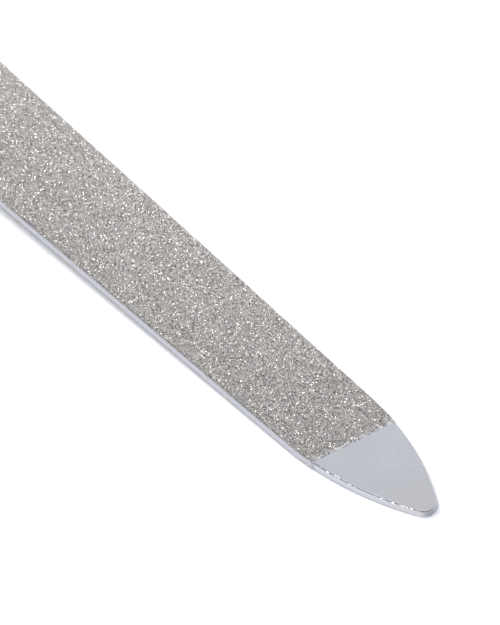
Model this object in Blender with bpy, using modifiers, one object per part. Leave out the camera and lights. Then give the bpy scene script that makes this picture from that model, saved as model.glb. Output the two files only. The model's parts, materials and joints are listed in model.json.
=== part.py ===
"""A diamond nail file: a plated steel blade coated with diamond grit, in a two-part moulded handle.

Metres, +X from the handle to the tip, +Z up. The origin is the centre of the bounding box's underside.
"""

import math
import random

import bmesh
import bpy
from mathutils import Matrix

# Blade
BLADE_SHOWN = 0.105  # from the tip to the handle's mouth
BLADE_THICKNESS = 0.0009
SHOULDER_HALF_WIDTH = 0.0056  # where the point's arcs meet the straight sides
SIDE_TAPER = math.radians(1.33)  # each side spreads by this angle towards the handle
POINT_RADIUS = 0.0350  # arc of each side of the point
NOSE_RADIUS = 0.00137
EDGE_ROUNDING = 0.00015

# Diamond coat
BARE_TIP = 0.0131  # uncoated length at the tip
NICKEL_THICKNESS = 0.00005
GRIT_THICKNESS = 0.00014
COAT_IN_MOUTH = 0.0015  # coated length that the handle hides
RAGGED_DEPTH = 0.0003  # how far the coat's front edge wanders
RAGGED_POINTS = 30
PLATING_GAP = 0.000004

# Tang
WIDE_PART_IN_MOUTH = 0.004  # full-width length that the handle hides
TANG_HALF_WIDTH = 0.0042
TANG_END_ROOM = 0.010  # from the tang's end to the inside of the handle's butt
TANG_SIDE_ROOM = 0.0008  # from the tang's edge to the wall at the waist
TANG_HOLE_CLEARANCE = 0.0001

# Handle
HANDLE_LENGTH = 0.060
HANDLE_WALL = 0.0014
ROOM_OVER_TANG = 0.00115  # from the tang's face to the inside of the shell
MOUTH_WALL = 0.0013  # beside the blade at the mouth
FRONT_WALL = 0.0055  # solid length at the mouth
WAIST_FROM_MOUTH = 0.038
BUTT_RADIUS = 0.0072
HANDLE_ROUNDING = 0.0022
POCKET_CLEARANCE = 0.00005  # around the tang and the coated blade
SEAM_GAP = 0.00006  # between the two shells
SEAM_GROOVE = 0.00015  # depth of the fine groove that runs round the seam
SEAM_GROOVE_HALF_WIDTH = 0.00012

# Shallow dish for the thumb, in both faces of the handle
DISH_LENGTH = 0.022
DISH_WIDTH = 0.009
DISH_DEPTH = 0.0005
DISH_FROM_MOUTH = 0.017  # to the dish's middle
DISH_FULLNESS = 6  # half height of the ellipsoid that cuts the dish, in depths of the dish

# Ribs, pegs and sockets inside the handle
RIB_COUNT = 4
RIB_THICKNESS = 0.0011
FIRST_RIB_BEHIND_WALL = 0.003
LAST_RIB_FROM_TANG_END = 0.003
PEG_RADIUS = 0.0015
BOSS_RADIUS = 0.0027
PEG_REACH = 0.0011  # above the tang
SOCKET_CLEARANCE = 0.0001
SOCKET_END_GAP = 0.0002

# Fineness of curves, overlaps of joined shapes and overshoot of cutters
NOSE_STEPS = 10
POINT_STEPS = 18
BLEND_STEPS = 12
BUTT_STEPS = 24
ROUND_SIDES = 32
DISH_RINGS = 32
EDGE_SEGMENTS = 3
HANDLE_SEGMENTS = 5
SHARP_ANGLE = math.radians(40)
WELD = 0.0000005
OVERSHOOT = 0.001

# Places that follow from the sizes above
TIP_X = (BLADE_SHOWN + HANDLE_LENGTH) / 2
MOUTH_X = TIP_X - BLADE_SHOWN
BUTT_X = MOUTH_X - HANDLE_LENGTH
HANDLE_HALF_THICKNESS = BLADE_THICKNESS / 2 + ROOM_OVER_TANG + HANDLE_WALL
MIDDLE_Z = HANDLE_HALF_THICKNESS
COAT_FRONT_X = TIP_X - BARE_TIP
COAT_BACK_X = MOUTH_X - COAT_IN_MOUTH
STEP_X = MOUTH_X - WIDE_PART_IN_MOUTH
TANG_END_X = BUTT_X + HANDLE_WALL + TANG_END_ROOM
NICKEL_HALF_THICKNESS = BLADE_THICKNESS / 2 + NICKEL_THICKNESS
COAT_HALF_THICKNESS = NICKEL_HALF_THICKNESS + GRIT_THICKNESS
LOWER, UPPER = -1, 1

# The point: a nose circle on the axis, and on each side an arc that touches it and the straight side
NOSE_X = TIP_X - NOSE_RADIUS
ARC_Y = SHOULDER_HALF_WIDTH - POINT_RADIUS * math.cos(SIDE_TAPER)
ARC_X = NOSE_X - math.sqrt((POINT_RADIUS - NOSE_RADIUS) ** 2 - ARC_Y**2)
NOSE_END_ANGLE = math.atan2(-ARC_Y, NOSE_X - ARC_X)
SHOULDER_ANGLE = math.pi / 2 - SIDE_TAPER


def arc(centre_x, centre_y, radius, start, end, steps):
    """Points along an arc, both ends included."""
    turns = [start + (end - start) * step / steps for step in range(steps + 1)]
    return [(centre_x + radius * math.cos(a), centre_y + radius * math.sin(a)) for a in turns]


def blade_half_width(x, grow=0.0):
    """The blade's half width behind the nose, moved outwards by grow."""
    radius = POINT_RADIUS + grow
    shoulder_x = ARC_X + radius * math.cos(SHOULDER_ANGLE)
    if x > shoulder_x:
        return ARC_Y + math.sqrt(radius**2 - (x - ARC_X) ** 2)
    return ARC_Y + radius * math.sin(SHOULDER_ANGLE) + math.tan(SIDE_TAPER) * (shoulder_x - x)


def blade_edge(back, grow=0.0):
    """The blade's +Y edge from the tip to back, moved outwards by grow."""
    nose = arc(NOSE_X, 0.0, NOSE_RADIUS + grow, 0.0, NOSE_END_ANGLE, NOSE_STEPS)
    point = arc(ARC_X, ARC_Y, POINT_RADIUS + grow, NOSE_END_ANGLE, SHOULDER_ANGLE, POINT_STEPS)
    return nose + point[1:] + [(back, blade_half_width(back, grow))]


def mirrored(edge):
    """A closed outline from its +Y edge, which may start or end on the axis."""
    return edge + [(x, -y) for x, y in reversed(edge) if y > WELD]


def blank_outline(grow=0.0):
    """The whole steel blank: blade, step and tang with its round end."""
    tang = TANG_HALF_WIDTH + grow
    tang_end = arc(TANG_END_X + TANG_HALF_WIDTH, 0.0, tang, math.pi / 2, math.pi, BUTT_STEPS // 2)
    return mirrored(blade_edge(STEP_X - grow, grow) + [(STEP_X - grow, tang)] + tang_end)


def stretch_edge(front, back, grow):
    """The blade's +Y edge between two cuts straight across it, moved outwards by grow."""
    between = [(x, y) for x, y in blade_edge(back, grow) if back <= x < front]
    return [(front, blade_half_width(front, grow))] + between


def grit_outline():
    """The coated length with a ragged front edge, inside the rounded rims of the blade."""
    edge = stretch_edge(COAT_FRONT_X, COAT_BACK_X, -EDGE_ROUNDING)
    wander = random.Random(4)
    start_y = edge[0][1]
    spacing = 2 * start_y / RAGGED_POINTS
    front = [
        (COAT_FRONT_X - RAGGED_DEPTH * wander.random(), -start_y + spacing * step)
        for step in range(1, RAGGED_POINTS)
    ]
    return mirrored(edge) + front


MOUTH_HALF_WIDTH = blade_half_width(MOUTH_X, NICKEL_THICKNESS + POCKET_CLEARANCE) + MOUTH_WALL
WAIST_HALF_WIDTH = TANG_HALF_WIDTH + TANG_SIDE_ROOM + HANDLE_WALL
BUTT_CENTRE_X = BUTT_X + BUTT_RADIUS
WAIST_X = MOUTH_X - WAIST_FROM_MOUTH


def blend(from_x, from_y, to_x, to_y, share):
    """A point on a smooth curve that leaves and arrives parallel to X."""
    return (from_x + (to_x - from_x) * share, from_y + (to_y - from_y) * (1 - math.cos(math.pi * share)) / 2)


def handle_edge(inset, mouth_x):
    """The handle's +Y edge from mouth_x to the butt, moved inwards by inset."""
    shares = [step / BLEND_STEPS for step in range(BLEND_STEPS + 1)]
    flare = [blend(MOUTH_X, MOUTH_HALF_WIDTH, WAIST_X, WAIST_HALF_WIDTH, share) for share in shares]
    swell = [blend(WAIST_X, WAIST_HALF_WIDTH, BUTT_CENTRE_X, BUTT_RADIUS, share) for share in shares[1:]]
    sides = [(x, y - inset) for x, y in flare + swell if x < mouth_x]
    start = (mouth_x, handle_half_width_at(mouth_x) - inset)
    butt = arc(BUTT_CENTRE_X, 0.0, BUTT_RADIUS - inset, math.pi / 2, math.pi, BUTT_STEPS // 2)
    return [start] + sides + butt[1:]


def handle_half_width_at(x):
    """The handle's half width between the mouth and the butt's centre."""
    if x > MOUTH_X:
        return MOUTH_HALF_WIDTH
    if x > WAIST_X:
        share = (MOUTH_X - x) / WAIST_FROM_MOUTH
        return blend(MOUTH_X, MOUTH_HALF_WIDTH, WAIST_X, WAIST_HALF_WIDTH, share)[1]
    share = (WAIST_X - x) / (WAIST_X - BUTT_CENTRE_X)
    return blend(WAIST_X, WAIST_HALF_WIDTH, BUTT_CENTRE_X, BUTT_RADIUS, share)[1]


def clear_scene():
    for old in list(bpy.data.objects):
        bpy.data.objects.remove(old, do_unlink=True)


def new_collection(name):
    collection = bpy.data.collections.new(name)
    bpy.context.scene.collection.children.link(collection)
    return collection


def finish(name, colour, roughness, metallic):
    """A Principled material of one colour."""
    material = bpy.data.materials.new(name)
    material.use_nodes = True
    shader = material.node_tree.nodes["Principled BSDF"]
    shader.inputs["Base Color"].default_value = (*colour, 1.0)
    shader.inputs["Roughness"].default_value = roughness
    shader.inputs["Metallic"].default_value = metallic
    return material


def place(name, mesh, collection, material=None):
    """Puts a mesh in a collection as an object, or as a hidden cutter if it has no material."""
    piece = bpy.data.objects.new(name, mesh)
    collection.objects.link(piece)
    if material is None:
        piece.hide_render = True
        piece.display_type = "WIRE"
    else:
        mesh.materials.append(material)
    return piece


def plate_mesh(name, outline, low_z, high_z):
    """An outline filled and extruded between two heights, with one face for each cap."""
    curve = bpy.data.curves.new(name + "_outline", "CURVE")
    curve.dimensions = "2D"
    curve.fill_mode = "BOTH"
    curve.extrude = (high_z - low_z) / 2
    spline = curve.splines.new("POLY")
    spline.points.add(len(outline) - 1)
    for point, (x, y) in zip(spline.points, outline):
        point.co = (x, y, 0.0, 1.0)
    spline.use_cyclic_u = True
    guide = bpy.data.objects.new(name + "_outline", curve)
    bpy.context.scene.collection.objects.link(guide)
    depsgraph = bpy.context.evaluated_depsgraph_get()
    mesh = bpy.data.meshes.new_from_object(guide.evaluated_get(depsgraph))
    bpy.data.objects.remove(guide)
    solid = bmesh.new()
    solid.from_mesh(mesh)
    bmesh.ops.remove_doubles(solid, verts=solid.verts, dist=WELD)
    for side in (LOWER, UPPER):
        cap = [face for face in solid.faces if face.normal.z * side > 0.9]
        bmesh.ops.dissolve_faces(solid, faces=cap)
    bmesh.ops.translate(solid, verts=solid.verts, vec=(0.0, 0.0, (high_z + low_z) / 2))
    bmesh.ops.recalc_face_normals(solid, faces=solid.faces)
    solid.to_mesh(mesh)
    solid.free()
    mesh.name = name
    return mesh


def middle_plate_mesh(name, outline, half_thickness):
    """A plate that lies evenly about the blade's middle plane."""
    return plate_mesh(name, outline, MIDDLE_Z - half_thickness, MIDDLE_Z + half_thickness)


def block_mesh(name, low, high):
    """A box between two corners."""
    size = [b - a for a, b in zip(low, high)]
    centre = [(a + b) / 2 for a, b in zip(low, high)]
    solid = bmesh.new()
    bmesh.ops.create_cube(solid, size=1.0, matrix=Matrix.Translation(centre) @ Matrix.Diagonal((*size, 1.0)))
    mesh = bpy.data.meshes.new(name)
    solid.to_mesh(mesh)
    solid.free()
    return mesh


def post_mesh(name, x, radius, end_a, end_b):
    """An upright cylinder on the axis of the file, between two heights."""
    middle = Matrix.Translation((x, 0.0, (end_a + end_b) / 2))
    depth = abs(end_b - end_a)
    solid = bmesh.new()
    bmesh.ops.create_cone(
        solid, cap_ends=True, segments=ROUND_SIDES, radius1=radius, radius2=radius, depth=depth, matrix=middle
    )
    mesh = bpy.data.meshes.new(name)
    solid.to_mesh(mesh)
    solid.free()
    return mesh


def dish_mesh(name, x, face_z, side):
    """An ellipsoid that dips into a face of the handle and cuts a dish of the right length and width."""
    half_height = DISH_DEPTH * DISH_FULLNESS
    cut_share = math.sqrt(1 - (1 - 1 / DISH_FULLNESS) ** 2)
    middle = Matrix.Translation((x, 0.0, face_z + side * (half_height - DISH_DEPTH)))
    half_sizes = (DISH_LENGTH / 2 / cut_share, DISH_WIDTH / 2 / cut_share, half_height, 1.0)
    shape = middle @ Matrix.Diagonal(half_sizes)
    solid = bmesh.new()
    bmesh.ops.create_uvsphere(solid, u_segments=ROUND_SIDES, v_segments=DISH_RINGS, radius=1.0, matrix=shape)
    mesh = bpy.data.meshes.new(name)
    solid.to_mesh(mesh)
    solid.free()
    return mesh


def add_bevel(piece, width, segments):
    bevel = piece.modifiers.new("rounded_edges", "BEVEL")
    bevel.width = width
    bevel.segments = segments
    bevel.limit_method = "ANGLE"
    bevel.angle_limit = SHARP_ANGLE


def combine(piece, other, operation):
    boolean = piece.modifiers.new(other.name, "BOOLEAN")
    boolean.operation = operation
    boolean.solver = "EXACT"
    boolean.object = other


def settle(piece):
    """Applies a piece's modifiers, then shades it smooth between its sharp edges."""
    depsgraph = bpy.context.evaluated_depsgraph_get()
    mesh = bpy.data.meshes.new_from_object(piece.evaluated_get(depsgraph), depsgraph=depsgraph)
    piece.modifiers.clear()
    piece.data = mesh
    mesh.shade_smooth()
    mesh.set_sharp_from_angle(angle=SHARP_ANGLE)


def rounded_blank(name, collection, grow, material=None):
    """The steel blank or a cutter of its shape, moved outwards all over by grow."""
    blank = middle_plate_mesh(name, blank_outline(grow), BLADE_THICKNESS / 2 + grow)
    piece = place(name, blank, collection, material)
    add_bevel(piece, EDGE_ROUNDING + grow, EDGE_SEGMENTS)
    return piece


def rib_places():
    """The ribs' places along the tang, evenly spread from the front wall to the tang's end."""
    first = MOUTH_X - FRONT_WALL - FIRST_RIB_BEHIND_WALL
    last = TANG_END_X + LAST_RIB_FROM_TANG_END
    return [first + (last - first) * number / (RIB_COUNT - 1) for number in range(RIB_COUNT)]


def peg_places():
    """The pegs stand midway in the first and the last bay between ribs."""
    ribs = rib_places()
    return [(ribs[0] + ribs[1]) / 2, (ribs[-2] + ribs[-1]) / 2]


def make_blade(pieces, cutters):
    steel = finish("plated_steel", (0.62, 0.63, 0.66), 0.14, 1.0)
    blade = rounded_blank("blade", pieces, 0.0, steel)
    low, high = MIDDLE_Z - BLADE_THICKNESS, MIDDLE_Z + BLADE_THICKNESS
    for number, x in enumerate(peg_places(), 1):
        name = f"tang_hole_{number}"
        hole = place(name, post_mesh(name, x, PEG_RADIUS + TANG_HOLE_CLEARANCE, low, high), cutters)
        combine(blade, hole, "DIFFERENCE")


def make_nickel_bond(pieces, cutters):
    """A thin sleeve round the coated length, open where the blade runs through it."""
    nickel = finish("nickel_plating", (0.60, 0.60, 0.61), 0.30, 1.0)
    sleeve = rounded_blank("nickel_bond", pieces, NICKEL_THICKNESS, nickel)
    low = (COAT_BACK_X, -MOUTH_HALF_WIDTH, MIDDLE_Z - COAT_HALF_THICKNESS)
    high = (COAT_FRONT_X, MOUTH_HALF_WIDTH, MIDDLE_Z + COAT_HALF_THICKNESS)
    combine(sleeve, place("coated_length", block_mesh("coated_length", low, high), cutters), "INTERSECT")
    combine(sleeve, rounded_blank("sleeve_bore", cutters, PLATING_GAP), "DIFFERENCE")


def make_grit(pieces):
    """A thin coat of grains on each face, on the flat of the nickel."""
    diamond = finish("diamond_grit", (0.50, 0.48, 0.46), 0.45, 0.6)
    inner, outer = NICKEL_HALF_THICKNESS, COAT_HALF_THICKNESS
    for name, side in (("lower_diamond_grit", LOWER), ("upper_diamond_grit", UPPER)):
        low_z, high_z = sorted((MIDDLE_Z + side * inner, MIDDLE_Z + side * outer))
        place(name, plate_mesh(name, grit_outline(), low_z, high_z), pieces, diamond)


def make_shell(side, pieces, cutters, shared, plastic):
    """One half of the handle. Depth is measured inwards from its own outer face."""
    word = "lower" if side == LOWER else "upper"

    def height(depth):
        return MIDDLE_Z + side * (HANDLE_HALF_THICKNESS - depth)

    def span(depth, other_depth):
        return sorted((height(depth), height(other_depth)))

    def add(kind, mesh_of, *sizes):
        name = f"{word}_{kind}"
        return place(name, mesh_of(name, *sizes), cutters)

    name = f"handle_{word}_shell"
    whole = middle_plate_mesh(name, mirrored(handle_edge(0.0, MOUTH_X)), HANDLE_HALF_THICKNESS)
    shell = place(name, whole, pieces, plastic)
    add_bevel(shell, HANDLE_ROUNDING, HANDLE_SEGMENTS)
    combine(shell, add("dish", dish_mesh, MOUTH_X - DISH_FROM_MOUTH, height(0.0), side), "DIFFERENCE")

    past_seam = HANDLE_HALF_THICKNESS + OVERSHOOT
    inside = mirrored(handle_edge(HANDLE_WALL, MOUTH_X - FRONT_WALL))
    combine(shell, add("hollow", plate_mesh, inside, *span(HANDLE_WALL, past_seam)), "DIFFERENCE")

    low_z, high_z = span(HANDLE_WALL / 2, past_seam)
    for number, x in enumerate(rib_places(), 1):
        half = handle_half_width_at(x) - HANDLE_WALL / 2
        low = (x - RIB_THICKNESS / 2, -half, low_z)
        high = (x + RIB_THICKNESS / 2, half, high_z)
        combine(shell, add(f"rib_{number}", block_mesh, low, high), "UNION")
    for number, x in enumerate(peg_places(), 1):
        combine(shell, add(f"boss_{number}", post_mesh, x, BOSS_RADIUS, low_z, high_z), "UNION")

    low_z, high_z = span(HANDLE_HALF_THICKNESS - SEAM_GAP / 2, 2 * HANDLE_HALF_THICKNESS + OVERSHOOT)
    low = (BUTT_X - OVERSHOOT, -MOUTH_HALF_WIDTH - BUTT_RADIUS, low_z)
    high = (MOUTH_X + OVERSHOOT, MOUTH_HALF_WIDTH + BUTT_RADIUS, high_z)
    combine(shell, add("other_half", block_mesh, low, high), "DIFFERENCE")
    for cutter in shared:
        combine(shell, cutter, "DIFFERENCE")

    peg_end = MIDDLE_Z + BLADE_THICKNESS / 2 + PEG_REACH
    for number, x in enumerate(peg_places(), 1):
        if side == LOWER:
            sizes = (x, PEG_RADIUS, height(HANDLE_WALL / 2), peg_end)
            combine(shell, add(f"peg_{number}", post_mesh, *sizes), "UNION")
        else:
            sizes = (x, PEG_RADIUS + SOCKET_CLEARANCE, MIDDLE_Z, peg_end + SOCKET_END_GAP)
            combine(shell, add(f"socket_{number}", post_mesh, *sizes), "DIFFERENCE")


def make_handle(pieces, cutters):
    """Both shells, which share the pocket of the blade and the groove round the seam."""

    def add(name, edge, half_thickness):
        return place(name, middle_plate_mesh(name, mirrored(edge), half_thickness), cutters)

    blank = blank_outline(POCKET_CLEARANCE)
    half_pocket = BLADE_THICKNESS / 2 + POCKET_CLEARANCE
    pocket = place("tang_pocket", middle_plate_mesh("tang_pocket", blank, half_pocket), cutters)
    slot_back = COAT_BACK_X - POCKET_CLEARANCE
    slot_edge = stretch_edge(MOUTH_X + OVERSHOOT, slot_back, NICKEL_THICKNESS + POCKET_CLEARANCE)
    slot = add("mouth_slot", slot_edge, COAT_HALF_THICKNESS + POCKET_CLEARANCE)
    groove = add("seam_groove", handle_edge(-OVERSHOOT, MOUTH_X + OVERSHOOT), SEAM_GROOVE_HALF_WIDTH)
    core_edge = handle_edge(SEAM_GROOVE, MOUTH_X - SEAM_GROOVE)
    combine(groove, add("inside_groove", core_edge, HANDLE_HALF_THICKNESS), "DIFFERENCE")

    plastic = finish("moulded_plastic", (0.06, 0.065, 0.07), 0.42, 0.0)
    for side in (LOWER, UPPER):
        make_shell(side, pieces, cutters, (pocket, slot, groove), plastic)


clear_scene()
file_pieces = new_collection("diamond_nail_file")
file_cutters = new_collection("cutters")
make_blade(file_pieces, file_cutters)
make_nickel_bond(file_pieces, file_cutters)
make_grit(file_pieces)
make_handle(file_pieces, file_cutters)
for file_piece in file_pieces.objects:
    settle(file_piece)
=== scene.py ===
# %% [markdown]
# # Dressing a diamond nail file
#
# The construction of this nail file is finished: a stamped steel blank, a nickel sleeve that holds the
# diamonds on it, a coat on each face and a handle of two shells. This lesson gives each of them the surface
# that it has in the hand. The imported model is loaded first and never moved, so all that is made here is
# made where the construction already is.

# %% Load the construction
import json
import math
import random

import bmesh
import bpy
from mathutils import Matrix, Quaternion, Vector

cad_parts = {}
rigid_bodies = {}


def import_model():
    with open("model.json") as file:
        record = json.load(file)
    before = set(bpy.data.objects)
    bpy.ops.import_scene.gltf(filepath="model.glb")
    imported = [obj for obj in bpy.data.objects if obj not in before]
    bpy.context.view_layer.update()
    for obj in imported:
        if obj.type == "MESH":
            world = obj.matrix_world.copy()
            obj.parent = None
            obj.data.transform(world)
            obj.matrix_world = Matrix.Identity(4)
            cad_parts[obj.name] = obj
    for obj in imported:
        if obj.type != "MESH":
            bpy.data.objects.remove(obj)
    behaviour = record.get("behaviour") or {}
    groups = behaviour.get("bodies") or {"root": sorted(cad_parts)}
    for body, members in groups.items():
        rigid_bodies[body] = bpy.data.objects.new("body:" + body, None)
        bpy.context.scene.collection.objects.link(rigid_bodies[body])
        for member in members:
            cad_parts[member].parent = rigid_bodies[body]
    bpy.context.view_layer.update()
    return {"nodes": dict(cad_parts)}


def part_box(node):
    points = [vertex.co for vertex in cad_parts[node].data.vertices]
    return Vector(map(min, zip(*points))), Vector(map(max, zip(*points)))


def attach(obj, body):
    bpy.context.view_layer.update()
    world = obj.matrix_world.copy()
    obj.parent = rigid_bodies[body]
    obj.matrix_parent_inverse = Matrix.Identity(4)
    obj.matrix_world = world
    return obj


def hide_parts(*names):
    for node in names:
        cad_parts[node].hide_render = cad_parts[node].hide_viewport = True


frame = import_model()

MM = 0.001

print("Nodes:", ", ".join(sorted(frame["nodes"])))

# %% [markdown]
# ## Places
#
# Every place below is read from the construction. If the blade is made longer there, the diamonds, the
# camera and the floor follow it here.

# %% Read the places
blade_low, blade_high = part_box("blade")
sleeve_low, sleeve_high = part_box("nickel_bond")

TIP_X = blade_high.x
COAT_FRONT_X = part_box("upper_diamond_grit")[1].x
SLEEVE_FRONT_X = sleeve_high.x
SLEEVE_BACK_X = sleeve_low.x
MOUTH_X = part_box("handle_lower_shell")[1].x
BLADE_TOP_Z = blade_high.z
BLADE_UNDER_Z = blade_low.z
SLEEVE_TOP_Z = sleeve_high.z
MIDDLE_Z = (BLADE_UNDER_Z + BLADE_TOP_Z) / 2
print("Bare tip, mm:", round((TIP_X - COAT_FRONT_X) / MM, 2))
print("Blade in view, mm:", round((TIP_X - MOUTH_X) / MM, 2))

# %% [markdown]
# ## Working in edit mode from a script
#
# The operators of edit mode act on what is selected, so a script has to say which faces it means. By hand
# they are clicked. Here each face is asked a question about its place or its direction.

# %% Selecting and applying
def only(piece):
    """Makes a piece the one that is selected and active."""
    bpy.ops.object.select_all(action="DESELECT")
    piece.select_set(True)
    bpy.context.view_layer.objects.active = piece


def open_for_editing(piece):
    only(piece)
    bpy.ops.object.mode_set(mode="EDIT")
    bpy.ops.mesh.select_mode(type="FACE")


def select_faces(piece, wanted):
    """Selects the faces for which wanted(face) is true, in edit mode."""
    shape = bmesh.from_edit_mesh(piece.data)
    for face in shape.faces:
        face.select_set(bool(wanted(face)))
    bmesh.update_edit_mesh(piece.data)


def close_after_editing():
    bpy.ops.object.mode_set(mode="OBJECT")


def apply_modifiers(piece):
    only(piece)
    for modifier in list(piece.modifiers):
        bpy.ops.object.modifier_apply(modifier=modifier.name)


def triangles(piece):
    return sum(len(face.vertices) - 2 for face in piece.data.polygons)


# %% [markdown]
# ## A closed copy of a piece
#
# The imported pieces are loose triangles. They can't be shaded smoothly or subdivided, because no triangle
# knows its neighbour. So a copy has its doubled corners merged and its flat triangles dissolved into whole
# faces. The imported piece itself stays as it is.

# %% Copy and merge
WELD = 0.0005 * MM
FLAT = math.radians(0.05)
SHARP = math.radians(40)
FACE_WEIGHT = 100  # the most that the modifier takes, so that the largest face decides


def closed_copy(node, name):
    """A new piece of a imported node's shape, with shared corners and whole flat faces."""
    piece = bpy.data.objects.new(name, frame["nodes"][node].data.copy())
    piece.data.name = name
    piece.data.materials.clear()
    bpy.context.scene.collection.objects.link(piece)
    open_for_editing(piece)
    bpy.ops.mesh.customdata_custom_splitnormals_clear()
    bpy.ops.mesh.select_all(action="SELECT")
    bpy.ops.mesh.remove_doubles(threshold=WELD)
    bpy.ops.mesh.dissolve_limited(angle_limit=FLAT)
    close_after_editing()
    return piece


def shade(piece):
    """Smooth over the rounded edges, with the big flat faces kept flat by weighting the normals."""
    only(piece)
    bpy.ops.object.shade_smooth_by_angle(angle=SHARP)
    weighted = piece.modifiers.new("flat_faces_stay_flat", "WEIGHTED_NORMAL")
    weighted.mode = "FACE_AREA"
    weighted.weight = FACE_WEIGHT
    weighted.keep_sharp = True
    apply_modifiers(piece)


# %% [markdown]
# ## Writing node trees as formulas
#
# A finish is a small calculation, and a calculation reads best as a formula. `Field` wraps a socket so that
# plus, minus and times add the Math nodes. `Recipe` adds every other node with one method: its type, its
# settings, and what goes into its sockets.

# %% Two small classes for node trees
PLAIN, SOFT, FINE = 1.0, 2.0, 3.0  # how many layers of ever smaller clouds are added to a noise


class Field:
    """A value that changes from place to place. Arithmetic on it adds Math nodes."""

    def __init__(self, recipe, socket):
        self.recipe, self.socket = recipe, socket

    def maths(self, operation, *others):
        values = dict(enumerate([self, *others]))
        return self.recipe.node("ShaderNodeMath", {"operation": operation}, values)

    def __add__(self, other):
        return self.maths("ADD", other)

    def __mul__(self, other):
        return self.maths("MULTIPLY", other)

    def __sub__(self, other):
        return self.maths("SUBTRACT", other)

    def __rsub__(self, other):
        return self * -1 + other

    def __gt__(self, other):
        return self.maths("GREATER_THAN", other)

    __radd__, __rmul__ = __add__, __mul__


class Recipe:
    """Adds nodes to a tree."""

    def __init__(self, tree):
        self.tree = tree

    def node(self, kind, settings=None, sockets=None, output=0):
        """A new node. Sockets are named or numbered, and hold a number, a colour or a Field."""
        made = self.tree.nodes.new(kind)
        for name, value in (settings or {}).items():
            setattr(made, name, value)
        for name, value in (sockets or {}).items():
            socket = self.find(made.inputs, name)
            if isinstance(value, Field):
                self.tree.links.new(value.socket, socket)
            else:
                socket.default_value = value
        return Field(self, self.find(made.outputs, output)) if made.outputs else None

    @staticmethod
    def find(sockets, name):
        usable = [socket for socket in sockets if socket.enabled]
        if isinstance(name, int):
            return usable[name]
        return next(socket for socket in usable if socket.name == name)

    def place(self):
        """The place on the piece, in metres."""
        return self.node("ShaderNodeTexCoord", output="Object")

    def along(self, axis):
        return self.node("ShaderNodeSeparateXYZ", sockets={0: self.place()}, output=axis)

    def noise(self, size, detail=SOFT, stretch=(1.0, 1.0, 1.0)):
        """Cloudy noise from 0 to 1 whose clouds are about size metres wide, times stretch."""
        scale = [1 / (size * share) for share in stretch]
        where = self.node("ShaderNodeMapping", sockets={0: self.place(), "Scale": scale})
        return self.node("ShaderNodeTexNoise", sockets={"Vector": where, "Scale": 1.0, "Detail": detail})

    def between(self, value, low, high, to_low, to_high):
        """Carries value smoothly from low..high to to_low..to_high, and holds it there."""
        sockets = {0: value, 1: low, 2: high, 3: to_low, 4: to_high}
        return self.node("ShaderNodeMapRange", {"interpolation_type": "SMOOTHSTEP"}, sockets)

    def blend(self, share, first, second):
        """A colour that goes from first to second as share goes from 0 to 1."""
        sockets = {"Factor": share, "A": first, "B": second}
        return self.node("ShaderNodeMix", {"data_type": "RGBA"}, sockets)

    def bump(self, height, depth):
        """A surface roughened by height, from 0 to 1, times depth in metres."""
        return self.node("ShaderNodeBump", sockets={"Height": height, "Distance": depth})

    def is_ray(self, kind):
        """1 for the rays of one kind, and 0 for all others."""
        return self.node("ShaderNodeLightPath", output=f"Is {kind} Ray")


def finish(name, **values):
    """A new material, its recipe and its Principled shader, with fixed values on the shader's sockets."""
    material = bpy.data.materials.new(name)
    material.use_nodes = True
    shader = material.node_tree.nodes["Principled BSDF"]
    for socket, value in values.items():
        shader.inputs[socket.replace("_", " ")].default_value = value
    return material, Recipe(material.node_tree), shader


def feed(recipe, shader, socket, field):
    recipe.tree.links.new(field.socket, shader.inputs[socket])


# %% [markdown]
# ## Bright plating
#
# The bare tip is mirror-plated steel. A perfect mirror would look like a computer's, so three things are
# laid over it: the cool tint of the plating, with a painted reflection that turns it neutral towards the
# very point, a slow change of gloss left by the polishing, and hair-fine polishing lines along the blade.

# %% The plating's recipe
# The cool colour is the plating's own tint. The neutral one near the point is a painted reflection: a change
# of the mirrored light, drawn into the colour.
COOL_PLATING = (0.685, 0.702, 0.740, 1.0)
PAINTED_POINT_REFLECTION = (0.693, 0.691, 0.713, 1.0)
PAINTED_REFLECTION_LENGTH = 9 * MM  # how far behind the point the tint starts to turn neutral
TINT_DRIFT = 6 * MM  # how much the polishing clouds push that to and fro
POLISH_CLOUD = 4 * MM
PLATING_ROUGHNESS, PLATING_CHANGE = 0.10, 0.05
LINE_WIDTH = 0.12 * MM
LINE_DEPTH = 0.0006 * MM
ALONG_THE_BLADE = (30.0, 1.0, 1.0)


def bright_plating():
    material, recipe, shader = finish("bright_plating", Metallic=1.0)
    cloud = recipe.noise(POLISH_CLOUD)
    drifted = recipe.along("X") + (cloud - 0.5) * TINT_DRIFT
    # painted reflection: the colour turns neutral towards the point
    nearness = recipe.between(drifted, TIP_X - PAINTED_REFLECTION_LENGTH, TIP_X, 0.0, 1.0)
    feed(recipe, shader, "Base Color", recipe.blend(nearness, COOL_PLATING, PAINTED_POINT_REFLECTION))
    feed(recipe, shader, "Roughness", PLATING_ROUGHNESS + PLATING_CHANGE * cloud)
    lines = recipe.noise(LINE_WIDTH, detail=FINE, stretch=ALONG_THE_BLADE)
    feed(recipe, shader, "Normal", recipe.bump(lines, LINE_DEPTH))
    return material


plating = bright_plating()
print("Material:", plating.name)

# %% [markdown]
# ## The blade
#
# The blade is stamped from sheet, tumbled and plated. Stamping leaves an edge that tumbling rounds, but not
# evenly: there are tiny dents along it, and each throws a short bright or dark dash. The rounded edge is cut
# into shorter faces and then pushed in and out by a noise texture, so that the dashes come from the shape.
# A bump map could draw them too, but it would be lost in the exported mesh.

# %% Cut the rounded edge into shorter faces
EDGE_CUTS = 5
CUT_FROM_X = COAT_FRONT_X - 1 * MM
UPRIGHT, LYING = 0.05, 0.99  # how much of a face's direction is up or down


def on_rounded_edge(face):
    return face.calc_center_median().x > CUT_FROM_X and UPRIGHT < abs(face.normal.z) < LYING


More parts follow.
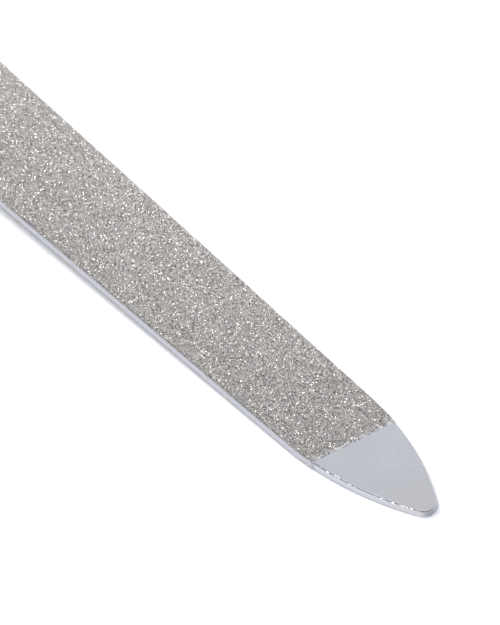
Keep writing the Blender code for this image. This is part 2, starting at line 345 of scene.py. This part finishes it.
blade = closed_copy("blade", "steel_blade")
blade.data.materials.append(plating)
open_for_editing(blade)
select_faces(blade, on_rounded_edge)
bpy.ops.mesh.subdivide(number_cuts=EDGE_CUTS)
close_after_editing()
print("Blade, faces:", len(blade.data.polygons))

# %% Mark the corners that may move, most of all those in the middle of the rounding
UNMOVED_DEPTH = 0.004 * MM  # corners that are nearer than this to a flat face stay in it

half_thickness = BLADE_TOP_Z - MIDDLE_Z
foremost = [corner.co for corner in blade.data.vertices if corner.co.x > TIP_X - WELD]
upright_wall = max(abs(place.z - MIDDLE_Z) for place in foremost)
rounding = half_thickness - upright_wall
print("Edge rounding, mm:", round(rounding / MM, 3))

edge_group = blade.vertex_groups.new(name="rounded_edge")
for corner in blade.data.vertices:
    depth = half_thickness - abs(corner.co.z - MIDDLE_Z)
    if corner.co.x > COAT_FRONT_X and UNMOVED_DEPTH < depth < rounding:
        edge_group.add([corner.index], math.sin(math.pi * depth / rounding), "REPLACE")

# %% Dent the edge
DENT_LENGTH = 0.45 * MM
DENT_DEPTH = 0.14 * MM
UNDENTED_LEVEL = 0.75  # the noise's value that moves nothing; it is high, so most dents go inwards

dents = bpy.data.textures.new("dents", "CLOUDS")
dents.noise_scale = DENT_LENGTH
dents.noise_depth = 1
dented = blade.modifiers.new("dented_edge", "DISPLACE")
dented.texture = dents
dented.texture_coords = "LOCAL"
dented.vertex_group = edge_group.name
dented.strength = DENT_DEPTH
dented.mid_level = UNDENTED_LEVEL
apply_modifiers(blade)
shade(blade)
blade.vertex_groups.clear()

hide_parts("blade")
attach(blade, "root")
print("Blade:", triangles(blade), "triangles")

# %% [markdown]
# ## The nickel
#
# The nickel is grown on the blade in a bath, with the diamonds lying in it. It is satin-bright on the walls
# and duller and knobbly where it creeps up the sides of the grains, so it has two kinds of finish. The
# knobbly one is lighter on the rim nearer the camera, which is painted light, and the satin one is dimmer
# and less blue on the front slope, which is painted shade.

# %% The two kinds of nickel
WALL_NICKEL = (0.635, 0.642, 0.697, 1.0)
SATIN_ROUGHNESS, SATIN_CHANGE = 0.20, 0.16
SATIN_CLOUD = 1.2 * MM
RIPPLE_SIZE, RIPPLE_DEPTH = 0.15 * MM, 0.004 * MM
BED_NICKEL = (0.40, 0.383, 0.367, 1.0)
# painted light: the bed's knobbly nickel, made lighter on the rim nearer the camera
LIT_RIM_NICKEL = (0.62, 0.61, 0.61, 1.0)
# painted shade: the walls' satin nickel, made dimmer and less blue on the slope that faces forwards
DIMMED_FRONT_NICKEL = (0.62, 0.62, 0.637, 1.0)
KNOB_SIZE, KNOB_DEPTH = 0.09 * MM, 0.02 * MM
KNOBBLY_ROUGHNESS = 0.5


def satin_nickel(name, colour):
    material, recipe, shader = finish(name, Base_Color=colour, Metallic=1.0)
    feed(recipe, shader, "Roughness", SATIN_ROUGHNESS + SATIN_CHANGE * recipe.noise(SATIN_CLOUD))
    feed(recipe, shader, "Normal", recipe.bump(recipe.noise(RIPPLE_SIZE), RIPPLE_DEPTH))
    return material


def knobbly_nickel(name, colour):
    material, recipe, shader = finish(name, Base_Color=colour, Metallic=1.0, Roughness=KNOBBLY_ROUGHNESS)
    feed(recipe, shader, "Normal", recipe.bump(recipe.noise(KNOB_SIZE), KNOB_DEPTH))
    return material


WALL, BED, RIM, FRONT = range(4)
nickel_skins = [
    satin_nickel("satin_nickel", WALL_NICKEL),
    knobbly_nickel("nickel_bed", BED_NICKEL),
    knobbly_nickel("nickel_rim_painted_light", LIT_RIM_NICKEL),
    satin_nickel("nickel_front_painted_shade", DIMMED_FRONT_NICKEL),
]
print("Nickel skins:", ", ".join(material.name for material in nickel_skins))

# %% [markdown]
# ## The sleeve's front end
#
# Plating doesn't stop in a step. It thins out, and a thin toe of it creeps on over the steel. In the
# construction the sleeve ends in an upright ring, whose inner corners lie on the steel and whose outer ones
# stand a skin's thickness off it. So the inner corners are moved forwards and the outer ones back, which
# turns the ring into a long slope all round the blade, walls included.

# %% Slope the ring
FACING_AHEAD = 0.9  # how much of a face's direction is forwards
RAMP_LENGTH = 0.14 * MM  # how far the outer corners go back
TOE_LENGTH = 0.24 * MM  # how far the inner corners go on over the steel

nickel = closed_copy("nickel_bond", "nickel_sleeve")
open_for_editing(nickel)
select_faces(nickel, lambda face: face.normal.x > FACING_AHEAD)
bpy.ops.mesh.quads_convert_to_tris()
close_after_editing()
ring = [corner for corner in nickel.data.vertices if corner.co.x > SLEEVE_FRONT_X - WELD]
skin_thickness = SLEEVE_TOP_Z - BLADE_TOP_Z
half_width = max(corner.co.y for corner in ring) - skin_thickness


def height_over_steel(place):
    """How far a place lies outside the blade's section, which is a rectangle with rounded corners."""
    sideways = max(0.0, abs(place.y) - half_width + rounding)
    upwards = max(0.0, abs(place.z - MIDDLE_Z) - half_thickness + rounding)
    return math.hypot(sideways, upwards) - rounding


for corner in ring:
    height = min(1.0, max(0.0, height_over_steel(corner.co) / skin_thickness))
    corner.co.x += TOE_LENGTH - (RAMP_LENGTH + TOE_LENGTH) * height
nickel.data.update()
print("Corners in the ring:", len(ring))

# %% [markdown]
# ## Which nickel goes where
#
# The coat of diamonds covers the flats. On the upper face it also wraps over the rim that is nearer the
# camera, while the far rim bears hardly any. Each face of the sleeve is asked how steeply it lies, and gets
# its finish from the answer. The near rim gets the painted light, and the front slope gets the painted
# shade.

# %% Give each face its finish
UPPER, LOWER = 1, -1
LEVEL, SLOPING, STEEP = 0.92, 0.45, 0.20  # how much of a face's direction is up
FACING_FRONT = 0.1  # how much of it is forwards on the slope of the front end


def bears_diamonds(face, side):
    """Whether the coat of that side covers a face."""
    wrapped = side == UPPER and face.normal.y < 0
    return face.normal.z * side > (SLOPING if wrapped else LEVEL)


def skin(face):
    """Which of the four finishes a face of the nickel gets."""
    # the front slope gets the dimmer nickel, which is painted shade
    if face.normal.x > FACING_FRONT:
        return FRONT
    if abs(face.normal.z) > LEVEL or (face.normal.z > STEEP and face.normal.y > 0):
        return BED
    # the rim nearer the camera gets the lighter nickel, which is painted light, while the far rim keeps the
    # bed's darker one
    return RIM if face.normal.z > STEEP else WALL


for material in nickel_skins:
    nickel.data.materials.append(material)
for face in nickel.data.polygons:
    face.material_index = skin(face)
shade(nickel)
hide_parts("nickel_bond")
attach(nickel, "root")
print("Nickel sleeve:", triangles(nickel), "triangles")

# %% [markdown]
# ## The diamonds
#
# A diamond coat sparkles because it is thousands of separate crystals, each turned its own way. Noise in a
# bump map can't flash like that, and it has no ragged edge against the bright tip. So each crystal is real.
#
# Twelve of them are cut one by one. A diamond grows as two pyramids, base to base, so a four-sided pyramid
# is mirrored, then stretched unevenly, and about a third of them lose a corner, as crushed grains do. They
# have seven colours, from smoky to almost white, since a few are clearer than the others.

# %% Cut the crystals
GRAIN_RADIUS = 0.067 * MM
MERGE_DISTANCE = GRAIN_RADIUS / 100  # Blender's own distances are wider than a crystal
CUT_TOLERANCE = GRAIN_RADIUS / 1000
LEAST_STRETCH, MOST_STRETCH = 0.75, 1.2
CHIPPED_SHARE = 0.33
DEEPEST_CHIP, SHALLOWEST_CHIP = 0.35, 0.5  # how far from the middle the cut is, in radii

crystals = bpy.data.collections.new("crystals")


def cut_crystal(name, stone, dice):
    """Two pyramids, base to base, stretched unevenly. Some lose one corner."""
    bpy.ops.object.select_all(action="DESELECT")
    bpy.ops.mesh.primitive_cone_add(
        vertices=4,
        radius1=GRAIN_RADIUS,
        depth=GRAIN_RADIUS,
        end_fill_type="NOTHING",
        location=(0, 0, GRAIN_RADIUS / 2),
    )
    crystal = bpy.context.object
    crystal.name = name
    bpy.ops.object.transform_apply(location=True, rotation=True, scale=True)
    twin = crystal.modifiers.new("lower_pyramid", "MIRROR")
    twin.use_axis = (False, False, True)
    twin.merge_threshold = MERGE_DISTANCE
    apply_modifiers(crystal)
    open_for_editing(crystal)
    bpy.ops.mesh.select_all(action="SELECT")
    bpy.ops.transform.resize(value=[dice.uniform(LEAST_STRETCH, MOST_STRETCH) for _ in range(3)])
    if dice.random() < CHIPPED_SHARE:
        way = Vector([dice.uniform(-1, 1) for _ in range(3)]).normalized()
        bpy.ops.mesh.bisect(
            plane_co=way * GRAIN_RADIUS * dice.uniform(DEEPEST_CHIP, SHALLOWEST_CHIP),
            plane_no=way,
            use_fill=True,
            clear_outer=True,
            threshold=CUT_TOLERANCE,
        )
    close_after_editing()
    crystal.data.materials.append(stone)
    for home in crystal.users_collection:
        home.objects.unlink(crystal)
    crystals.objects.link(crystal)
    return crystal


# %% Give them their colours
GRAIN_FINISHES = {
    # name: colour, roughness, how many of the twelve crystals
    "smoky": ((0.15, 0.142, 0.136, 1.0), 0.28, 3),
    "grey": ((0.53, 0.508, 0.49, 1.0), 0.27, 2),
    "pale": ((0.80, 0.78, 0.75, 1.0), 0.27, 3),
    "sandy": ((0.70, 0.60, 0.50, 1.0), 0.27, 1),
    "rosy": ((0.69, 0.58, 0.56, 1.0), 0.27, 1),
    "bluish": ((0.54, 0.565, 0.61, 1.0), 0.25, 1),
    "clear": ((0.97, 0.96, 0.95, 1.0), 0.20, 1),
}
CRYSTAL_SEED = 16

dice = random.Random(CRYSTAL_SEED)
for word, (colour, roughness, count) in GRAIN_FINISHES.items():
    stone = finish("diamond_" + word, Base_Color=colour, Roughness=roughness, Metallic=1.0)[0]
    for number in range(count):
        cut = cut_crystal(f"crystal_{word}_{number}", stone, dice)
        print(cut.name, triangles(cut), "triangles")

# %% [markdown]
# ## Where the grains lie
#
# In the bath the grains settle side by side, never on top of each other. Blender's Distribute Points with
# the Poisson Disk method does the same: it throws points at random and drops those that are too near
# another. The bed that it throws them on is the outside of the nickel where that bears diamonds. Noise
# along the front edge of the coat decides how far short of it the grains stop, which makes it ragged.

# %% The bed
def make_bed(side):
    """The part of the nickel's outer skin that bears the diamonds of the upper or the lower coat."""
    bed = bpy.data.objects.new("bed", nickel.data.copy())
    bpy.context.scene.collection.objects.link(bed)
    open_for_editing(bed)
    halfway_up = (SLEEVE_TOP_Z - MIDDLE_Z) / 2

    def unwanted(face):
        too_low = (face.calc_center_median().z - MIDDLE_Z) * side < halfway_up
        return too_low or not bears_diamonds(face, side)

    select_faces(bed, unwanted)
    bpy.ops.mesh.delete(type="FACE")
    close_after_editing()
    return bed


# %% The spots
GRAIN_SPACING = 0.087 * MM
THROWN_PER_AREA = 230e6  # on a square metre, before those that are too near another are dropped
RAGGED_LENGTH = 0.42 * MM  # how far short of the front edge the grains may stop
TOOTH_WIDTH = 0.30 * MM
TOOTH_TOP, TOOTH_FOOT = 0.46, 0.64  # the noise's values where the grains reach the edge, or stop farthest


def grain_spots(recipe, skin_of_bed, seed, back_x, front_x):
    """Spots side by side on the bed, between two places along the blade."""
    thrown = recipe.node(
        "GeometryNodeDistributePointsOnFaces",
        {"distribute_method": "POISSON"},
        {"Mesh": skin_of_bed, "Distance Min": GRAIN_SPACING, "Density Max": THROWN_PER_AREA, "Seed": seed},
    )
    spot = recipe.node("GeometryNodeInputPosition")
    x = recipe.node("ShaderNodeSeparateXYZ", sockets={0: spot}, output="X")
    teeth = recipe.node(
        "ShaderNodeTexNoise",
        sockets={"Vector": spot, "Scale": 1 / TOOTH_WIDTH, "Detail": PLAIN},
    )
    reach = x + recipe.between(teeth, TOOTH_TOP, TOOTH_FOOT, 0.0, RAGGED_LENGTH)
    outside = (reach > front_x) + (1 - (reach > back_x))
    return recipe.node(
        "GeometryNodeDeleteGeometry",
        {"domain": "POINT"},
        {"Geometry": thrown, "Selection": outside},
    )


# %% [markdown]
# ## Sowing the diamonds
#
# Each spot gets one of the twelve crystals, turned and scaled at random, half sunk in the nickel. Geometry
# nodes copy them, which is far quicker than a loop that adds them one by one. The coat of each face is
# sown in stretches along the blade, so that no piece is too large to be handed on.

# %% Put a crystal on each spot
SMALLEST_GRAIN, LARGEST_GRAIN = 0.75, 1.3


def crystals_on(recipe, spots, seed):
    """One of the crystals on each spot, with its own turn and size."""
    turn = recipe.node(
        "FunctionNodeRandomValue",
        {"data_type": "FLOAT_VECTOR"},
        {"Max": (math.tau,) * 3, "Seed": seed + 1},
    )
    size = recipe.node(
        "FunctionNodeRandomValue",
        {},
        {"Min": SMALLEST_GRAIN, "Max": LARGEST_GRAIN, "Seed": seed + 2},
    )
    choice = recipe.node(
        "FunctionNodeRandomValue",
        {"data_type": "INT"},
        {"Min": 0, "Max": len(crystals.objects) - 1, "Seed": seed + 3},
    )
    shapes = recipe.node(
        "GeometryNodeCollectionInfo",
        {},
        {"Collection": crystals, "Separate Children": True, "Reset Children": True},
    )
    grains = recipe.node(
        "GeometryNodeInstanceOnPoints",
        {},
        {
            "Points": spots,
            "Instance": shapes,
            "Pick Instance": True,
            "Instance Index": choice,
            "Rotation": turn,
            "Scale": size,
        },
    )
    return recipe.node("GeometryNodeRealizeInstances", {}, {"Geometry": grains})


def sow(bed, name, seed, back_x, front_x):
    """A piece of loose crystals that lie on the bed between two places along the blade."""
    tree = bpy.data.node_groups.new(name, "GeometryNodeTree")
    tree.interface.new_socket("Geometry", in_out="INPUT", socket_type="NodeSocketGeometry")
    tree.interface.new_socket("Geometry", in_out="OUTPUT", socket_type="NodeSocketGeometry")
    recipe = Recipe(tree)
    skin_of_bed = recipe.node("NodeGroupInput")
    spots = grain_spots(recipe, skin_of_bed, seed, back_x, front_x)
    recipe.node("NodeGroupOutput", {}, {"Geometry": crystals_on(recipe, spots, seed)})
    piece = bpy.data.objects.new(name, bed.data.copy())
    bpy.context.scene.collection.objects.link(piece)
    piece.modifiers.new("sow", "NODES").node_group = tree
    apply_modifiers(piece)
    return piece


# %% Sow both faces
STRETCHES = 5
SOWING_SEED = 20

stretch_length = (COAT_FRONT_X - SLEEVE_BACK_X) / STRETCHES
for word, side in (("upper", UPPER), ("lower", LOWER)):
    bed = make_bed(side)
    for number in range(STRETCHES):
        front_x = COAT_FRONT_X - number * stretch_length
        back_x = front_x - stretch_length
        limit = front_x + (TOE_LENGTH if number == 0 else 0.0)  # the first may run on over the toe
        coat = sow(bed, f"{word}_diamonds_{number + 1}", SOWING_SEED + side, back_x, limit)
        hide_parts(f"{word}_diamond_grit")
        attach(coat, "root")
        print(coat.name, triangles(coat), "triangles")
    bpy.data.objects.remove(bed)
for crystal in list(crystals.objects):
    bpy.data.objects.remove(crystal)

# %% [markdown]
# ## The handle
#
# The handle is two moulded shells of hard plastic. A mould for such a handle is spark-eroded, which leaves a
# fine even grain that hides scratches. The grain is a shallow bump, too fine to be worth any faces, while
# the rounded edges and the seam are real.

# %% The moulded shells
GRAPHITE = (0.030, 0.032, 0.036, 1.0)
RUBBED_GRAPHITE = (0.044, 0.046, 0.050, 1.0)
RUBBED_PATCH = 9 * MM
PLASTIC_ROUGHNESS, PLASTIC_CHANGE = 0.32, 0.10
PLASTIC_GLOSS = 0.45
SPARK_SIZE, SPARK_DEPTH = 0.35 * MM, 0.06 * MM


def moulded_plastic():
    material, recipe, shader = finish("moulded_plastic", Specular_IOR_Level=PLASTIC_GLOSS)
    cloud = recipe.noise(RUBBED_PATCH)
    feed(recipe, shader, "Base Color", recipe.blend(cloud, GRAPHITE, RUBBED_GRAPHITE))
    feed(recipe, shader, "Roughness", PLASTIC_ROUGHNESS + PLASTIC_CHANGE * cloud)
    feed(recipe, shader, "Normal", recipe.bump(recipe.noise(SPARK_SIZE, detail=FINE), SPARK_DEPTH))
    return material


plastic = moulded_plastic()
for word in ("lower", "upper"):
    shell = closed_copy(f"handle_{word}_shell", f"{word}_handle_shell")
    shell.data.materials.append(plastic)
    shade(shell)
    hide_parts(f"handle_{word}_shell")
    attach(shell, "root")
    print(shell.name, triangles(shell), "triangles")

# %% [markdown]
# ## The floor
#
# A file that is put down tips forward until its point touches. So the floor isn't level with the handle: it
# is the plane that touches the point and the handle's front edge.

# %% Lay the floor against the file
FLOOR_SIZE = 8.0  # metres
TOUCHING = 0.01 * MM  # a corner this near to the lowest one counts as touching

underside = [corner.co for corner in blade.data.vertices if corner.co.z < BLADE_UNDER_Z + TOUCHING]
touch = max(underside, key=lambda place: place.x)
lower_shell = bpy.data.objects["lower_handle_shell"]
slopes = [(touch.z - corner.co.z) / (touch.x - corner.co.x) for corner in lower_shell.data.vertices]
tilt = math.atan(max(slopes))
print("The file tips forward by", round(math.degrees(tilt), 2), "degrees")

bpy.ops.object.select_all(action="DESELECT")
bpy.ops.mesh.primitive_plane_add(size=FLOOR_SIZE, location=touch, rotation=(0.0, -tilt, 0.0))
floor = bpy.context.object
floor.name = "floor"
bpy.ops.object.transform_apply(location=True, rotation=True, scale=True)

# %% [markdown]
# ## The floor's white
#
# The floor has a look of its own for each kind of ray. The light that it bounces comes from a plain pale
# one. The camera sees a white one with a glow, which joins the white background and still keeps the shadow.
# Metal mirrors a white one with hardly any glow. Past the point of the blade it mirrors a painted shade,
# a dimmer grey that draws the nose's grey edge in its reflection.

# %% The floor's material
BOUNCING_PALE = (0.80, 0.80, 0.80, 1.0)
SEEN_MATT, SEEN_GLOW = 1.0, 0.11
MIRRORED_MATT, MIRRORED_GLOW = 0.87, 0.02
# painted shade: the floor that metal mirrors past the point of the blade is dimmer
PAINTED_SHADE_GREY = (0.52, 0.52, 0.54, 1.0)
PAINTED_SHADE_FROM_X, PAINTED_SHADE_FULL_X = TIP_X - 0.2 * MM, TIP_X + 0.5 * MM


def glowing_white(recipe, matt, glow):
    """A matt white that keeps its shadows, and a glow that lifts it to the white of the background."""
    shaded = recipe.node("ShaderNodeBsdfDiffuse", sockets={"Color": (matt, matt, matt, 1.0)})
    lift = recipe.node("ShaderNodeEmission", sockets={"Strength": glow})
    return recipe.node("ShaderNodeAddShader", sockets={0: shaded, 1: lift})


def white_floor():
    material, recipe, _ = finish("white_floor")
    bounced = recipe.node("ShaderNodeBsdfDiffuse", sockets={"Color": BOUNCING_PALE})
    lit = glowing_white(recipe, MIRRORED_MATT, MIRRORED_GLOW)
    # the painted shade past the point, seen only in metal
    dim = recipe.node("ShaderNodeBsdfDiffuse", sockets={"Color": PAINTED_SHADE_GREY})
    beyond = recipe.between(recipe.along("X"), PAINTED_SHADE_FROM_X, PAINTED_SHADE_FULL_X, 0.0, 1.0)
    mirrored = recipe.node("ShaderNodeMixShader", sockets={0: beyond, 1: lit, 2: dim})
    in_glass_or_metal = recipe.is_ray("Glossy").maths("MAXIMUM", recipe.is_ray("Transmission"))
    unseen = recipe.node("ShaderNodeMixShader", sockets={0: in_glass_or_metal, 1: bounced, 2: mirrored})
    seen = glowing_white(recipe, SEEN_MATT, SEEN_GLOW)
    whole = recipe.node("ShaderNodeMixShader", sockets={0: recipe.is_ray("Camera"), 1: unseen, 2: seen})
    recipe.tree.links.new(whole.socket, recipe.tree.nodes["Material Output"].inputs["Surface"])
    return material


floor.data.materials.append(white_floor())
print("Material:", floor.data.materials[0].name)

# %% [markdown]
# ## The sky
#
# The light is that of a soft, plain studio. Matt surfaces get an even, slightly cool sky. Polished ones
# show what they mirror, so they see a sky with some shape: bright behind the file and overhead, and dark
# elsewhere, which draws the thin dark lines on the edges of the plating. The camera sees plain white.

# %% Build the sky
EVEN_SKY = (0.43, 0.44, 0.475, 1.0)
BRIGHT_SKY = (0.705, 0.713, 0.733, 1.0)
OVERHEAD_SKY = (0.95, 0.98, 1.03, 1.0)
DARK_SKY = (0.20, 0.20, 0.22, 1.0)
WHITE_SKY = (1.0, 1.0, 1.0, 1.0)
BRIGHT_AZIMUTH, BRIGHT_ELEVATION = 141.0, 45.0
BRIGHT_FROM, BRIGHT_FULL = 0.15, 0.7  # cosines of the angle to the brightest place
OVERHEAD_FROM, OVERHEAD_FULL = 0.75, 0.95  # heights on a sky of radius 1


def outward(azimuth, elevation):
    """The direction that is azimuth degrees round from +X and elevation degrees up."""
    a, e = math.radians(azimuth), math.radians(elevation)
    return Vector((math.cos(e) * math.cos(a), math.cos(e) * math.sin(a), math.sin(e)))


world = bpy.data.worlds.new("studio")
world.use_nodes = True
bpy.context.scene.world = world
sky = Recipe(world.node_tree)
direction = sky.node("ShaderNodeTexCoord", output="Generated")
brightest = outward(BRIGHT_AZIMUTH, BRIGHT_ELEVATION)
nearness = sky.node(
    "ShaderNodeVectorMath",
    {"operation": "DOT_PRODUCT"},
    {0: direction, 1: brightest},
    "Value",
)
mirrored = sky.blend(sky.between(nearness, BRIGHT_FROM, BRIGHT_FULL, 0.0, 1.0), DARK_SKY, BRIGHT_SKY)
height = sky.node("ShaderNodeSeparateXYZ", sockets={0: direction}, output="Z")
mirrored = sky.blend(sky.between(height, OVERHEAD_FROM, OVERHEAD_FULL, 0.0, 1.0), mirrored, OVERHEAD_SKY)
unseen = sky.blend(sky.is_ray("Glossy"), EVEN_SKY, mirrored)
whole = sky.blend(sky.is_ray("Camera"), unseen, WHITE_SKY)
background = world.node_tree.nodes["Background"]
world.node_tree.links.new(whole.socket, background.inputs["Color"])
print("World:", world.name)

# %% [markdown]
# ## The lamps
#
# Two large soft lamps, a warm one to the left of the camera and a cool one in front, light the floor and
# the handle, and no reflection shows them. Three small ones do the opposite: they are seen as reflections
# only, in the bright glints on the edges and the flashes of the crystals.

# %% Hang the lamps
WARM_WHITE = (1.05, 0.99, 0.92)
COOL_WHITE = (0.93, 0.99, 1.11)
NEUTRAL_WHITE = (1.0, 1.0, 1.0)
LAMPS = {
    # name: degrees round from +X, degrees up, metres away, metres wide, strength, colour, purpose
    "left": (208.0, 60.0, 0.8, 0.25, 0.38, WARM_WHITE, "matt"),
    "front": (300.0, 53.0, 0.8, 0.25, 0.30, COOL_WHITE, "matt"),
    "back": (145.0, 20.0, 0.25, 0.10, 0.15, NEUTRAL_WHITE, "shine"),
    "spark": (271.0, 43.0, 0.7, 0.05, 0.05, NEUTRAL_WHITE, "shine"),
    "glint": (228.0, 50.0, 0.7, 0.03, 0.02, NEUTRAL_WHITE, "shine"),
}


def power(strength, distance, elevation):
    """The watts that make a level white card at the tip as bright as strength, where 1 is white."""
    return strength * math.pi**2 * distance**2 / math.sin(math.radians(elevation))


tip = Vector((TIP_X, 0.0, BLADE_TOP_Z))
for word, (azimuth, elevation, distance, size, strength, colour, purpose) in LAMPS.items():
    way = outward(azimuth, elevation)
    bpy.ops.object.light_add(type="AREA", location=tip + way * distance)
    lamp = bpy.context.object
    lamp.name = "lamp_" + word
    lamp.rotation_euler = (-way).to_track_quat("-Z", "Y").to_euler()
    lamp.data.size = size
    lamp.data.color = colour
    lamp.data.energy = power(strength, distance, elevation)
    lamp.visible_glossy = purpose == "shine"
    lamp.visible_diffuse = purpose == "matt"
    print(lamp.name, "power, watts:", round(lamp.data.energy, 2))

# %% [markdown]
# ## The camera
#
# A long lens looks down at the tip from ahead and to one side, so that the tip is large at the lower right
# and the blade runs out of the frame at the upper left.

# %% Place the camera
CAMERA_DISTANCE = 450 * MM  # from the tip
CAMERA_AZIMUTH = -38.33
CAMERA_ELEVATION = 42.02
CAMERA_ROLL = -1.05
AIM_BEHIND_TIP = 36.18 * MM
AIM_TO_FAR_SIDE = 3.675 * MM
LENS = 257.25  # millimetres, on Blender's own sensor

camera_data = bpy.data.cameras.new("camera")
camera_data.lens = LENS
camera = bpy.data.objects.new("camera", camera_data)
bpy.context.scene.collection.objects.link(camera)
camera.location = tip + outward(CAMERA_AZIMUTH, CAMERA_ELEVATION) * CAMERA_DISTANCE
aim = tip + Vector((-AIM_BEHIND_TIP, AIM_TO_FAR_SIDE, 0.0))
level = (aim - camera.location).to_track_quat("-Z", "Y")
camera.rotation_mode = "QUATERNION"
camera.rotation_quaternion = level @ Quaternion((0.0, 0.0, 1.0), math.radians(CAMERA_ROLL))
bpy.context.scene.camera = camera
bpy.context.scene.view_settings.view_transform = "Standard"
print("Camera to aim, mm:", round((aim - camera.location).length / MM, 1))
